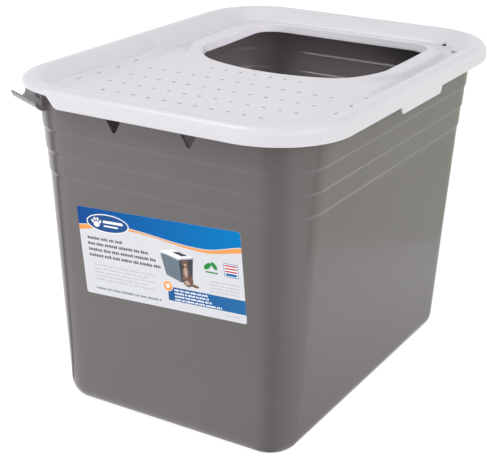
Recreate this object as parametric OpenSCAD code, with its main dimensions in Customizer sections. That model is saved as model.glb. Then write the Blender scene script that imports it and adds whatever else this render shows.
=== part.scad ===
// Top-entry cat litter box: an open tapered tub, a hinged lid with a recessed walkway, and a front label.
// The origin is on the floor under the middle of the tub. +X is the lift-tab side, -Y the labelled end.

/* [Lid] */
// Width of the lid, across the short way
lid_w = 381; // [360:1:400]
// Length of the lid, along the long way
lid_l = 514; // [490:1:530]
// Height of the whole box to the top of the lid's border
total_h = 377; // [360:1:400]
// Plan radius of the lid's corners
lid_corner_r = 86; // [70:1:95]
// Depth of the lid's outer skirt
skirt_h = 20; // [16:1:24]
// Radius that rounds the skirt into the border
edge_r = 12; // [8:1:14]
// Wall thickness of the lid
lid_wall = 2.5; // [2:0.1:3]
// Width of the flat top of the border, from the outer edge
border_flat = 23; // [20:1:26]
// Depth of the recessed walkway below the border
recess_depth = 17; // [12:1:20]
// Rise of the walkway towards each end
walk_rise = 4.5; // [0:0.5:6]

/* [Entry opening] */
// Width of the entry opening
entry_w = 238; // [200:1:244]
// Front edge of the entry opening, at the middle
entry_front = -10; // [-20:1:10]
// Rear edge of the entry opening
entry_rear = 210; // [190:1:212]
// Corner radius of the entry opening
entry_r = 40; // [30:1:50]
// Radius of the front edge's outward bow
entry_bow_r = 195; // [150:5:260]
// Height of the turned-down lip
lip_h = 10; // [6:1:14]

/* [Walkway holes] */
// Diameter of the litter holes
hole_d = 5.6; // [4:0.2:7]
// Spacing of the holes across the lid
hole_pitch = 19.2; // [17:0.1:20]
// Rows of holes, spaced twice as far apart
hole_rows = 5; // [3:1:5]
// Length of the drain slots beside the border
slot_l = 7; // [5:0.5:9]

/* [Tub] */
// Width of the tub's base
base_w = 292; // [280:1:300]
// Length of the tub's base
base_l = 424; // [410:1:430]
// Outward slope of the walls, per unit height
draft = 0.059; // [0.04:0.001:0.06]
// Plan radius of the tub's corners at the base
base_corner_r = 35; // [30:1:45]
// Growth of the corner radius per unit height
corner_growth = 0.063; // [0.04:0.001:0.07]
// Wall thickness of the tub
tub_wall = 2.7; // [2.2:0.1:3]
// How far each of the three ledges steps out
ledge_step = 1.2; // [0.6:0.1:1.4]
// Height of the lowest ledge
ledge_z = 273; // [260:1:280]
// Spacing of the ledges
ledge_pitch = 25; // [20:1:26]
// Width of the V-shaped vents at the rim end
vent_w = 26; // [20:1:30]
// Distance between the two vents
vent_gap = 90; // [80:1:100]

/* [Label] */
// Width of the front label
label_w = 203; // [180:1:210]
// Height of the front label
label_h = 101.5; // [90:0.5:106]
// Tilt of the label on the wall, in degrees
label_tilt = 3.6; // [0:0.1:5]

/* [Hinge] */
// Distance of the hinge axis from the middle
hinge_x = 183; // [182:0.5:184]
// Height of the hinge axis
hinge_z = 360; // [359:0.5:361]
// Radius of the hinge pins
pin_r = 3; // [2.6:0.1:3.2]
// Distance of each hinge from the middle of the long side
hinge_y = 150; // [100:5:160]

/* [Hidden] */
corner_steps = 7;
side_steps = 6;
base_edge_r = 12.5;
base_edge_h = 18.5;
floor_t = 3;
ledge_rise = 1.5;
rim_z = total_h - lid_wall - 0.3;
bead_out = 5;
bead_h = 5;
skirt_z = total_h - skirt_h;
hinge_cut_z = skirt_z + 9;
walk_z = total_h - recess_depth;
crease_x = 149;
crease_front = -203;
crease_rear = 219;
crease_r = 47;
collar_w = 9;
collar_h = 2.5;
pin_clearance = 0.1;
arm_t = 4;
arm_r = 6.5;
arm_root_x = 169;
arm_gap = 0.5;
lug_w = 20;
lug_r = 4.5;
lug_web_t = 7;
tab_l = 105;
tab_drop = 8;
tab_r = 6;
cradle_r = 6.9;
cradle_wall = 2.2;
cradle_end = [-202, -195, 350];
cradle_angle = 150;
cradle_l = 76;
cut_edge_x = -107.5;
vent_tip = 3;
vent_apex_z = 336;
vent_top_z = 354;
inner_edge_in = 9;
first_row_y = -29.5;
row_reach = [60, 120, 120, 120, 100];
slot_w = 2.4;
first_slot_y = -158;
slot_pitch = 36;
label_x = 2;
label_z = 200.5;
label_t = 0.35;
label_lift = 0.02;

// ---- outlines -------------------------------------------------------------------------------

// Points of one rounded corner, from its centre.
function corner(c, r, start) =
    [for (i = [0:corner_steps]) c + r * [cos(start + 90 * i / corner_steps), sin(start + 90 * i / corner_steps)]];

// Points strictly between a and b.
function between(a, b) = [for (i = [1:side_steps - 1]) a + (b - a) * i / side_steps];

// A rounded rectangle from its half sizes, radius and centre, with points along its sides too.
function outline(hx, hy, r, cy = 0) =
    let (
        ne = corner([hx - r, cy + hy - r], r, 0),
        nw = corner([r - hx, cy + hy - r], r, 90),
        sw = corner([r - hx, cy + r - hy], r, 180),
        se = corner([hx - r, cy + r - hy], r, 270),
        n = corner_steps
    )
    concat(ne, between(ne[n], nw[0]), nw, between(nw[n], sw[0]), sw, between(sw[n], se[0]), se,
           between(se[n], ne[0]));

// The lid's outline, moved in by d.
function lid_outline(d) = outline(lid_w / 2 - d, lid_l / 2 - d, lid_corner_r - d);

// The foot of the border's inner slope.
function crease_outline() =
    outline(crease_x, (crease_rear - crease_front) / 2, crease_r, (crease_rear + crease_front) / 2);

// The entry opening, grown by d. Its front edge bows towards the walkway.
function entry_outline(d) = [
    for (p = outline(entry_w / 2 + d, (entry_rear - entry_front) / 2 + d, entry_r + d,
                     (entry_rear + entry_front) / 2))
        let (t = (entry_rear - p[1]) / (entry_rear - entry_front))
        [p[0], p[1] + max(0, t) * p[0] * p[0] / (2 * entry_bow_r)]
];

// The tub's outside at height z, moved in by d.
function tub_outline(z, d) =
    outline(base_w / 2 + draft * z - d, base_l / 2 + draft * z - d, base_corner_r + corner_growth * z - d);

function blend(a, b, t) = [for (i = [0:len(a) - 1]) a[i] * (1 - t) + b[i] * t];
function smooth(t) = let (u = min(1, max(0, t))) u * u * (3 - 2 * u);

// Height of the walkway at a point: level in the middle, rising towards both ends and the sides.
function walk_height(p) =
    walk_z + walk_rise * (smooth((-90 - p[1]) / 110) + smooth((p[1] - 90) / 110))
    + 1.5 * pow(p[0] / crease_x, 2);

function flat_ring(pts, z) = [for (p = pts) [p[0], p[1], z]];
function walk_ring(pts, rise) = [for (p = pts) [p[0], p[1], walk_height(p) + rise]];

// ---- solids from rings ------------------------------------------------------------------------

// Skin through a list of rings with equal point counts. A closed one joins the last ring to the first,
// and an open one ends in a fan of faces round a middle point.
module loft(rings, closed = false) {
    n = len(rings[0]);
    m = len(rings);
    last = closed ? m - 1 : m - 2;
    sides = [
        for (k = [0:last])
            for (i = [0:n - 1])
                let (a = k * n + i, b = k * n + (i + 1) % n, c = ((k + 1) % m) * n + (i + 1) % n,
                     d = ((k + 1) % m) * n + i)
                each [[a, c, b], [a, d, c]]
    ];
    caps = closed ? [] : [
        for (i = [0:n - 1])
            let (j = (i + 1) % n, top = (m - 1) * n)
            each [[n * m, i, j], [n * m + 1, top + j, top + i]]
    ];
    middles = closed ? [] : [[0, 0, rings[0][0][2]], [0, 0, rings[m - 1][0][2]]];
    polyhedron([each [for (r = rings) each r], each middles], concat(sides, caps));
}

// A flat rounded rectangle with exact round corners.
module rounded_plate(w, l, r) {
    square([w - 2 * r, l], center = true);
    square([w, l - 2 * r], center = true);
    for (x = [-1, 1], y = [-1, 1])
        translate([x * (w / 2 - r), y * (l / 2 - r)])
            circle(r, $fn = 96);
}

// ---- tub ------------------------------------------------------------------------------------

function tub_ring(z, d) = flat_ring(tub_outline(z, d), z);

module tub_outer() {
    edge = [for (a = [0, 30, 60]) tub_ring(base_edge_h * (1 - cos(a)), base_edge_r * (1 - sin(a)))];
    ledges = [
        for (i = [0:2])
            let (z = ledge_z + i * ledge_pitch)
            each [tub_ring(z, -i * ledge_step), tub_ring(z + ledge_rise, -(i + 1) * ledge_step)]
    ];
    out = 3 * ledge_step;
    rim = [
        tub_ring(rim_z - bead_h - 2, -out),
        tub_ring(rim_z - bead_h, -out - bead_out),
        tub_ring(rim_z - 1, -out - bead_out),
        tub_ring(rim_z, -out - bead_out + 1)
    ];
    loft(concat(edge, [tub_ring(base_edge_h, 0)], ledges, rim));
}

module tub_inner() {
    edge = [
        tub_ring(floor_t, tub_wall + inner_edge_in),
        tub_ring(floor_t + 0.3 * inner_edge_in, tub_wall + 0.3 * inner_edge_in),
        tub_ring(floor_t + inner_edge_in, tub_wall)
    ];
    ledges = [
        for (i = [0:2])
            let (z = ledge_z + i * ledge_pitch)
            each [tub_ring(z, tub_wall - i * ledge_step), tub_ring(z + ledge_rise, tub_wall - (i + 1) * ledge_step)]
    ];
    loft(concat(edge, ledges, [tub_ring(rim_z + 1, tub_wall - 3 * ledge_step)]));
}

// Open half-pipe that leaves the front left corner under the lid.
module cradle() {
    translate(cradle_end)
        rotate([0, 0, cradle_angle])
            rotate([0, -90, 0])
                difference() {
                    cylinder(r = cradle_r + cradle_wall, h = cradle_l, $fn = 64);
                    translate([0, 0, -1])
                        cylinder(r = cradle_r, h = cradle_l + 2, $fn = 64);
                    translate([0, -20, -1])
                        cube([20, 40, cradle_l + 2]);
                }
}

// Web that carries the half-pipe's inner edge up to the wall.
module cradle_web() {
    translate(cradle_end)
        rotate([0, 0, cradle_angle])
            translate([0, -cradle_r, 0])
                rotate([90, 0, 0])
                    linear_extrude(cradle_wall)
                        polygon([[-10, -1], [-16, 3], [-26, 7], [-cradle_l, 7], [-cradle_l, -1]]);
}

// One bearing plate of a hinge, on the left wall.
module hinge_arm() {
    translate([-hinge_x, 0, hinge_z])
        rotate([90, 0, 0])
            translate([0, 0, -arm_t / 2]) {
                cylinder(r = arm_r, h = arm_t, $fn = 64);
                translate([0, -arm_r, 0])
                    cube([hinge_x - arm_root_x, 2 * arm_r, arm_t]);
            }
}

module hinge_arms() {
    for (side = [-1, 1], edge = [-1, 1])
        translate([0, side * hinge_y + edge * (lug_w / 2 + arm_t / 2 + arm_gap), 0])
            hinge_arm();
}

module hinge_bores() {
    for (side = [-1, 1])
        translate([-hinge_x, side * hinge_y, hinge_z])
            rotate([90, 0, 0])
                cylinder(r = pin_r + pin_clearance, h = lug_w + 4 * arm_t, center = true, $fn = 48);
}

// V-shaped vents through the labelled end wall, below the rim.
module vents() {
    for (side = [-1, 1])
        translate([side * vent_gap / 2, -lid_l / 2 + 5, 0])
            rotate([-90, 0, 0])
                linear_extrude(40)
                    polygon([
                        [-vent_tip / 2, -vent_apex_z],
                        [vent_tip / 2, -vent_apex_z],
                        [vent_w / 2, -vent_top_z],
                        [-vent_w / 2, -vent_top_z]
                    ]);
}

module tub() {
    color([0.47, 0.45, 0.44])
        difference() {
            union() {
                tub_outer();
                cradle();
                cradle_web();
                hinge_arms();
            }
            tub_inner();
            vents();
            hinge_bores();
        }
}

// ---- lid ------------------------------------------------------------------------------------

function border_arc(r, d) = [
    for (a = [0, 30, 60, 90])
        flat_ring(lid_outline(d + r * (1 - cos(a))), total_h - edge_r + r * sin(a))
];

module lid_skin() {
    under = -lid_wall;
    slope = [[border_flat, 0], [border_flat + 4, -1.6], [border_flat + 10, -7.5]];
    top_slope = [for (s = slope) flat_ring(lid_outline(s[0]), total_h + s[1])];
    low_slope = [for (i = [2:-1:0]) flat_ring(lid_outline(slope[i][0]), total_h + slope[i][1] + under)];
    crease = crease_outline();
    foot = entry_outline(collar_w);
    walk = [crease, blend(crease, foot, 0.25), blend(crease, foot, 0.5), blend(crease, foot, 0.75), foot];
    top_walk = [for (w = walk) walk_ring(w, 0)];
    low_walk = [for (i = [len(walk) - 1:-1:0]) walk_ring(walk[i], under)];
    collar = [
        walk_ring(entry_outline(collar_w / 2), collar_h),
        walk_ring(entry_outline(1.5), collar_h),
        walk_ring(entry_outline(0), collar_h - 1.5),
        walk_ring(entry_outline(0), collar_h - lip_h),
        walk_ring(entry_outline(lid_wall), collar_h - lip_h)
    ];
    outer = concat([flat_ring(lid_outline(0), skirt_z)], border_arc(edge_r, 0));
    arc = border_arc(edge_r - lid_wall, lid_wall);
    inner = concat([for (i = [3:-1:0]) arc[i]], [flat_ring(lid_outline(lid_wall), skirt_z)]);
    loft(concat(outer, top_slope, top_walk, collar, low_walk, low_slope, inner), closed = true);
}

// The skirt is shallower along the hinge side.
module hinge_side_cut() {
    translate([0, 0, skirt_z - 1])
        linear_extrude(hinge_cut_z - skirt_z + 1)
            intersection() {
                difference() {
                    rounded_plate(lid_w + 4, lid_l + 4, lid_corner_r + 2);
                    rounded_plate(lid_w - 3 * lid_wall, lid_l - 3 * lid_wall, lid_corner_r - 1.5 * lid_wall);
                }
                translate([-lid_w, -lid_l])
                    square([lid_w + cut_edge_x, 2 * lid_l]);
            }
}

module lift_tab() {
    z0 = skirt_z - tab_drop;
    translate([lid_w / 2 - lid_wall, 0, 0])
        rotate([90, 0, 90])
            linear_extrude(lid_wall) {
                translate([-tab_l / 2, z0 + tab_r])
                    square([tab_l, tab_drop + 2 - tab_r]);
                translate([-tab_l / 2 + tab_r, z0])
                    square([tab_l - 2 * tab_r, tab_drop]);
                for (side = [-1, 1])
                    translate([side * (tab_l / 2 - tab_r), z0 + tab_r])
                        circle(tab_r, $fn = 48);
            }
}

// A lug under the border with a pin through it, at each hinge.
module hinge_lugs() {
    for (side = [-1, 1])
        translate([-hinge_x, side * hinge_y, hinge_z]) {
            rotate([90, 0, 0]) {
                cylinder(r = pin_r, h = lug_w + 2 * arm_t, center = true, $fn = 48);
                cylinder(r = lug_r, h = lug_w, center = true, $fn = 48);
            }
            translate([-lug_web_t / 2, -lug_w / 2, 0])
                cube([lug_web_t, lug_w, total_h - lid_wall - hinge_z + 0.5]);
        }
}

module walkway_holes() {
    for (row = [0:hole_rows - 1], col = [-6:6])
        let (y = first_row_y - 2 * hole_pitch * row, x = hole_pitch * col)
            if (abs(x) < row_reach[row])
                translate([x, y, walk_z - 10])
                    cylinder(d = hole_d, h = 30, $fn = 24);
}

module drain_slots() {
    for (side = [-1, 1], i = [0:3])
        translate([side * (crease_x - 1), first_slot_y + slot_pitch * i, walk_z])
            cube([slot_w, slot_l, 24], center = true);
}

module lid() {
    color([0.88, 0.88, 0.9])
        difference() {
            union() {
                lid_skin();
                lift_tab();
                hinge_lugs();
            }
            hinge_side_cut();
            walkway_holes();
            drain_slots();
        }
}

// ---- label ----------------------------------------------------------------------------------

module front_label() {
    color([0.95, 0.96, 0.97])
        translate([label_x, -(base_l / 2 + draft * label_z) - label_lift, label_z])
            rotate([90 + atan(draft), 0, 0])
                rotate([0, 0, label_tilt])
                    linear_extrude(label_t)
                        rounded_plate(label_w, label_h, 3);
}

tub();
lid();
front_label();
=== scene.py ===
"""Looks of the top-entry litter box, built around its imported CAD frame.

Lengths are in mm and in the CAD frame, except where a name or a comment says metres.
"""

import math

import bmesh
import bpy
import numpy as np
from mathutils import Matrix, Vector
from mathutils.geometry import delaunay_2d_cdt


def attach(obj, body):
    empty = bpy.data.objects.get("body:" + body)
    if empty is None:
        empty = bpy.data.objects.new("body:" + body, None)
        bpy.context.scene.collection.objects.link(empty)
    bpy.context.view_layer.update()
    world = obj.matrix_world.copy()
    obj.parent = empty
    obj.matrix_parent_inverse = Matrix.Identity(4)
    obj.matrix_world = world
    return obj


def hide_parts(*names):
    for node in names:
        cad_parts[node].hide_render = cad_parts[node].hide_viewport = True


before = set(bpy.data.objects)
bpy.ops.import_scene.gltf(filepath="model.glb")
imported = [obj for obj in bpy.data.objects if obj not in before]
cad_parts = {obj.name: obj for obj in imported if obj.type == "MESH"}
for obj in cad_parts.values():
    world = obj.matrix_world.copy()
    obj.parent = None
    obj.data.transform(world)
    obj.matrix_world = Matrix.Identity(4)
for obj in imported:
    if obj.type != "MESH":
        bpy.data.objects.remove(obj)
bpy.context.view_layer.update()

MM = 0.001
SMOOTH_DEG = 35.0

# ---- dimensions -----------------------------------------------------------------------------------

# lid: border and skirt
LID_W, LID_L, LID_R = 381.0, 514.0, 86.0
TOTAL_H, SKIRT_Z, EDGE_R = 377.0, 357.0, 9.0
LID_WALL = 2.5
# inset and height of the rings round the skirt's lower edge, inwards to outwards
SKIRT_EDGE = ((1.7, 0.0), (1.0, 0.15), (0.4, 0.6), (0.1, 1.2))
# lid: inner slope of the border, down to the crease at its foot
CREASE_X, CREASE_FRONT, CREASE_REAR = 156.0, -207.0, 228.0
CREASE_FRONT_R, CREASE_REAR_R = 34.0, 56.0
POCKET_START, POCKET_END, POCKET_DEPTH = -34.0, 22.0, 7.5
POCKET_EASE_FRONT, POCKET_EASE_REAR = 44.0, 16.0
CROWN_X, CROWN_H, CROWN_RUN = 146.0, 2.5, 12.0
GROOVE_W, GROOVE_DEPTH = 1.1, 1.0
BORDER_W = 12.5
SOFT_FOOT_Y, SOFT_FOOT_RUN, SLOPE_POWER = -172.0, 34.0, 1.25
# lid: deck, opening, holes and drain slots
WALK_Z, FRONT_RISE, REAR_RISE, RISE_Y, RISE_RUN = 360.0, 3.2, 1.2, 90.0, 110.0
ENTRY_W, ENTRY_FRONT, ENTRY_REAR, ENTRY_R, ENTRY_BOW = 238.0, -10.0, 200.5, 40.0, 195.0
ENTRY_REAR_R = 33.0
COLLAR_FOOT, COLLAR_FOOT_REAR, COLLAR_SLOPE = 30.0, 17.0, 10.0
COLLAR_H, COLLAR_START, COLLAR_RUN = 3.6, -5.0, 60.0
LIP_H, LIP_R, LIP_DRAFT = 9.5, 2.4, 2.0
# inset and height of the rings round the lip's lower edge, outwards to inwards
LIP_EDGE = ((0.3, -0.3), (LID_WALL - 0.6, -0.3), (LID_WALL - 0.3, 0.0))
GUTTER_D, GUTTER_HALF, GUTTER_DEPTH = 28.0, 7.5, 2.1
GUTTER_START, GUTTER_START_RUN, GUTTER_END, GUTTER_END_RUN = -60.0, 80.0, 165.0, 30.0
GUTTER_TURN, GUTTER_TURN_RUN = 150.0, 60.0
HOLE_D, HOLE_PITCH, FIRST_ROW_Y, HOLE_STEPS = 4.8, 19.2, -29.5, 28
ROW_REACH = (60, 120, 120, 120, 100)
SLOT_L, SLOT_W, SLOT_X, FIRST_SLOT_Y, SLOT_PITCH = 7.0, 2.4, 147.5, -158.0, 36.0
REAR_SLOTS = ((122, 223, -20, 8), (147, 195, 120, 13))  # x, y, turn in degrees, length
REAR_SLOT_W, SLOT_CUT = 6.5, 24.0
# lid: lift tab on the right, and the shallower skirt on the hinge side
TAB_L, TAB_DROP, TAB_R, TAB_FILLET = 105.0, 8.0, 6.0, 2.0
CUT_Z, CUT_X0, CUT_X1 = 369.5, -101.0, -116.0

# tub: BASE sizes are at the floor, and DRAFT and R_GROWTH are growths per mm of height
BASE_W, BASE_L, DRAFT = 292.0, 424.0, 0.059
BASE_R, R_GROWTH, MIN_CORNER_R, TUB_WALL = 35.0, 0.063, 4.0, 2.7
BASE_EDGE_R, BASE_EDGE_H, FLOOR_T, FLOOR_R = 12.5, 18.5, 3.0, 9.0
# height and inset of the rings under the base, outwards from its middle
BASE_RINGS = ((1.4, 70), (1.4, 40), (1.4, 26), (1.1, 24.5), (0.3, 23), (0, 21.5))
LEDGE_Z, LEDGE_PITCH, LEDGE_STEP = 273.8, 25.0, 1.2
LEDGE_RISE_OUT, LEDGE_RISE_IN = 5.2, 3.4
RIM_Z, BEAD_OUT, BEAD_H = 367.0, 4.4, 5.0
VENT_X, VENT_APEX_Z, VENT_TOP_Z, VENT_W, VENT_TIP = 45.0, 337.0, 354.0, 22.0, 3.0
# depth into the wall, widening on each side and drop of the tip, from the outside in
VENT_SECTIONS = ((-2.0, 0.5, 2.2), (0.4, 0.3, 1.4), (1.2, 0.0, 0.2), (14.0, 0.0, 0.0))

# hinge: the lid's lugs and pins, and the tub's arms
HINGE_X, HINGE_Y, HINGE_Z = 183.0, 150.0, 360.0
PIN_R, PIN_CHAMFER, PIN_PLAY, PIN_STEPS = 3.0, 0.6, 0.1, 40
LUG_W, LUG_R, LUG_SHOULDER, LUG_FLARE, LUG_SINK, LUG_BEVEL = 20.0, 4.5, 6.0, 1.6, 0.4, 0.5
ARM_T, ARM_R, ARM_DROP, ARM_GAP, ARM_ROOT_X, ARM_BEVEL = 4.0, 6.5, 5.0, 0.5, 169.0, 0.4

# half-pipe cradle at the front left corner
CRADLE_END, CRADLE_YAW, CRADLE_L = (-202.0, -195.0, 350.0), 150.0, 76.0
CRADLE_R, CRADLE_WALL, CRADLE_TILT = 6.9, 2.2, 3.0
CRADLE_RISE, CRADLE_RISE_FROM, CRADLE_RISE_RUN = 7.0, 7.0, 19.0
CRADLE_TIP_L, CRADLE_TIP_INSET = 1.5, 0.7

# label
LABEL_W, LABEL_H, LABEL_R, LABEL_T = 203.0, 101.5, 2.5, 0.3
LABEL_X, LABEL_Z, LABEL_TILT, LABEL_GAP = 2.0, 200.5, 3.6, 0.02

# ---- helpers --------------------------------------------------------------------------------------


def smooth(t):
    t = np.clip(t, 0.0, 1.0)
    return t * t * (3 - 2 * t)


def new_object(name, mesh):
    obj = bpy.data.objects.new(name, mesh)
    bpy.context.scene.collection.objects.link(obj)
    return obj


def mesh_object(name, verts_mm, faces):
    mesh = bpy.data.meshes.new(name)
    mesh.from_pydata([tuple(v) for v in np.asarray(verts_mm, float) * MM], [], faces)
    mesh.validate()
    shade(mesh)
    return new_object(name, mesh)


def shade(mesh):
    mesh.polygons.foreach_set("use_smooth", [True] * len(mesh.polygons))
    mesh.set_sharp_from_angle(angle=math.radians(SMOOTH_DEG))


def corner_arc(cx, cy, r, start, steps):
    a = np.radians(start + 90.0 * np.arange(steps + 1) / steps)
    return np.stack([cx + r * np.cos(a), cy + r * np.sin(a)], 1)


def side(a, b, fractions):
    f = np.asarray(fractions, float)[:, None]
    return a + (b - a) * f


def outline(hx, hy, r, cy, spans, steps, front_r=None):
    """A rounded rectangle, anticlockwise from its right rear corner; spans are the fractions along its
    rear, left, front and right sides."""
    q = r if front_r is None else front_r
    ne = corner_arc(hx - r, cy + hy - r, r, 0, steps)
    nw = corner_arc(r - hx, cy + hy - r, r, 90, steps)
    sw = corner_arc(q - hx, cy + q - hy, q, 180, steps)
    se = corner_arc(hx - q, cy + q - hy, q, 270, steps)
    return np.concatenate([
        ne, side(ne[-1], nw[0], spans[0]),
        nw, side(nw[-1], sw[0], spans[1]),
        sw, side(sw[-1], se[0], spans[2]),
        se, side(se[-1], ne[0], spans[3]),
    ])


def even(count):
    return np.arange(1, count) / count


def with_z(points, z):
    z = np.broadcast_to(np.asarray(z, float), (len(points),))
    return np.column_stack([points, z])


def loft_faces(ring_count, n, closed):
    i = np.arange(n)
    j = (i + 1) % n
    faces = []
    for k in range(ring_count if closed else ring_count - 1):
        a, b = k * n, ((k + 1) % ring_count) * n
        faces += np.stack([a + i, a + j, b + j, b + i], 1).tolist()
    return faces


def loft(name, rings, closed):
    """A skin through rings with equal point counts; an open one ends in flat caps."""
    n = len(rings[0])
    faces = loft_faces(len(rings), n, closed)
    if not closed:
        faces.append(list(range(n))[::-1])
        faces.append([(len(rings) - 1) * n + i for i in range(n)])
    return mesh_object(name, np.concatenate(rings), faces)


def boolean(target, cutter, operation):
    modifier = target.modifiers.new("cut", "BOOLEAN")
    modifier.operation = operation
    modifier.solver = "EXACT"
    modifier.object = cutter
    bake_modifiers(target)
    shade(target.data)
    old = cutter.data
    bpy.data.objects.remove(cutter)
    bpy.data.meshes.remove(old)


def bake_modifiers(obj):
    depsgraph = bpy.context.evaluated_depsgraph_get()
    mesh = bpy.data.meshes.new_from_object(obj.evaluated_get(depsgraph))
    old = obj.data
    obj.modifiers.clear()
    obj.data = mesh
    mesh.name = old.name
    bpy.data.meshes.remove(old)


def joined(name, parts):
    """One object from several, with their places applied."""
    bm = bmesh.new()
    for part in parts:
        mesh = part.data.copy()
        mesh.transform(part.matrix_world)
        bm.from_mesh(mesh)
        bpy.data.meshes.remove(mesh)
    mesh = bpy.data.meshes.new(name)
    bm.to_mesh(mesh)
    bm.free()
    for part in parts:
        old = part.data
        bpy.data.objects.remove(part)
        bpy.data.meshes.remove(old)
    return new_object(name, mesh)


def put(obj, place):
    """Move a part's mesh to a place given in mm."""
    scaled = place.copy()
    scaled.translation = place.translation * MM
    obj.data.transform(scaled)


def prism(name, profile, depth, place, bevel=0.0):
    """A profile in its own X and Y, extruded along its Z from -depth/2 to depth/2, then placed."""
    ends = [with_z(np.asarray(profile, float), z) for z in (-depth / 2, depth / 2)]
    obj = loft(name, ends, False)
    if bevel:
        modifier = obj.modifiers.new("edge", "BEVEL")
        modifier.width = bevel * MM
        modifier.segments = 3
        modifier.limit_method = "ANGLE"
        modifier.angle_limit = math.radians(50)
        bake_modifiers(obj)
    put(obj, place)
    shade(obj.data)
    return obj


def circle(r, steps):
    a = 2 * np.pi * np.arange(steps) / steps
    return np.stack([r * np.cos(a), r * np.sin(a)], 1)


def turned(name, profile, steps, place):
    """A closed round solid from (radius, z) pairs going up its side."""
    rings = [with_z(circle(r, steps), z) for r, z in profile]
    obj = loft(name, rings, False)
    put(obj, place)
    return obj


# ---- lid ------------------------------------------------------------------------------------------

CORNER_STEPS = 44


def tab_profile():
    """Distance along the skirt and depth below it for the lift tab's rounded end, from the middle out."""
    a = np.radians(np.linspace(0, 90, 9))
    outer = TAB_L / 2
    ys = [outer - TAB_R + TAB_R * math.sin(t) for t in a]
    drops = [TAB_DROP - TAB_R * (1 - math.cos(t)) for t in a]
    b = np.radians(np.linspace(15, 90, 6))
    ys += [outer + TAB_FILLET - TAB_FILLET * math.cos(t) for t in b]
    drops += [TAB_FILLET * (1 - math.sin(t)) for t in b]
    return np.array(ys), np.array(drops)


TAB_Y, TAB_DEPTH = tab_profile()


def right_side_fractions():
    half = LID_L / 2 - LID_R
    inner = np.arange(-44.0, 44.1, 4.0)
    outer = np.arange(TAB_Y[-1] + 3.0, half - 1.0, 4.0)
    ys = np.concatenate([-outer[::-1], -TAB_Y[::-1], inner, TAB_Y, outer])
    return (ys + half) / (2 * half)


LID_SPANS = (even(56), even(86), even(56), right_side_fractions())


def lid_outline(d):
    return outline(LID_W / 2 - d, LID_L / 2 - d, LID_R - d, 0, LID_SPANS, CORNER_STEPS)


def crease_outline():
    """The foot of the border's inner slope, with a shallow pocket pushed out of each side."""
    hy, cy = (CREASE_REAR - CREASE_FRONT) / 2, (CREASE_REAR + CREASE_FRONT) / 2
    p = outline(CREASE_X, hy, CREASE_REAR_R, cy, LID_SPANS, CORNER_STEPS, CREASE_FRONT_R)
    on_side = np.abs(p[:, 0]) > CREASE_X - 0.01
    y = p[:, 1]
    out = POCKET_DEPTH * smooth((y - POCKET_START) / POCKET_EASE_FRONT)
    out = out * smooth((POCKET_END - y) / POCKET_EASE_REAR)
    return np.column_stack([p[:, 0] + np.sign(p[:, 0]) * np.where(on_side, out, 0), p[:, 1]])


def entry_outline(d):
    """The opening's edge, grown by d, with its front side bowed."""
    hx, hy, cy = ENTRY_W / 2 + d, (ENTRY_REAR - ENTRY_FRONT) / 2 + d, (ENTRY_REAR + ENTRY_FRONT) / 2
    p = outline(hx, hy, ENTRY_REAR_R + d, cy, LID_SPANS, CORNER_STEPS, ENTRY_R + d)
    t = np.maximum(0, (ENTRY_REAR - p[:, 1]) / (ENTRY_REAR - ENTRY_FRONT))
    return np.column_stack([p[:, 0], p[:, 1] + t * p[:, 0] ** 2 / (2 * ENTRY_BOW)])


def entry_distance(p):
    """How far points lie outside the entry opening's edge."""
    k = p[:, 0] ** 2 / (2 * ENTRY_BOW * (ENTRY_REAR - ENTRY_FRONT))
    y = np.where(p[:, 1] < ENTRY_REAR, (p[:, 1] - ENTRY_REAR * k) / (1 - k), p[:, 1])
    cy, hy = (ENTRY_REAR + ENTRY_FRONT) / 2, (ENTRY_REAR - ENTRY_FRONT) / 2
    qx = np.abs(p[:, 0]) - (ENTRY_W / 2 - ENTRY_R)
    qy = np.abs(y - cy) - (hy - ENTRY_R)
    return np.hypot(np.maximum(qx, 0), np.maximum(qy, 0)) + np.minimum(np.maximum(qx, qy), 0) - ENTRY_R


def deck_height(p):
    """Height of the recessed deck: walkway, collar round the opening and gutter beside it."""
    y = p[:, 1]
    base = WALK_Z + FRONT_RISE * smooth((-RISE_Y - y) / RISE_RUN)
    base = base + REAR_RISE * smooth((y - RISE_Y) / RISE_RUN)
    base = base + CROWN_H * smooth((np.abs(p[:, 0]) - CROWN_X) / CROWN_RUN)
    turn = smooth((y - GUTTER_TURN) / GUTTER_TURN_RUN)
    foot = COLLAR_FOOT + (COLLAR_FOOT_REAR - COLLAR_FOOT) * turn
    away = entry_distance(p)
    rise = 1 - smooth((away - foot + COLLAR_SLOPE) / COLLAR_SLOPE)
    beside = np.where(y < GUTTER_TURN, np.abs(p[:, 0]) - ENTRY_W / 2, away)
    gutter = smooth(1 - np.abs(beside - GUTTER_D) / GUTTER_HALF)
    gutter = gutter * smooth((y - GUTTER_START) / GUTTER_START_RUN)
    gutter = gutter * (1 - smooth((y - GUTTER_END) / GUTTER_END_RUN))
    return base + COLLAR_H * smooth((y - COLLAR_START) / COLLAR_RUN) * rise - GUTTER_DEPTH * gutter


def skirt_bottom(p):
    """Height of the skirt's lower edge: it drops at the lift tab and rises on the hinge side."""
    z = np.full(len(p), SKIRT_Z)
    z += (CUT_Z - SKIRT_Z) * smooth((CUT_X0 - p[:, 0]) / (CUT_X0 - CUT_X1))
    on_tab = (p[:, 0] > LID_W / 2 - 0.01) & (np.abs(p[:, 1]) < TAB_Y[-1])
    ys, drops = np.concatenate([[0], TAB_Y]), np.concatenate([[TAB_DROP], TAB_DEPTH])
    drop = np.interp(np.abs(p[:, 1]), ys, drops)
    return z - np.where(on_tab, drop, 0)


def front_share(p):
    """1 on the front side, where the deck runs softly into the border, and 0 where a groove parts them."""
    return smooth((SOFT_FOOT_Y - p[:, 1]) / SOFT_FOOT_RUN)


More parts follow.
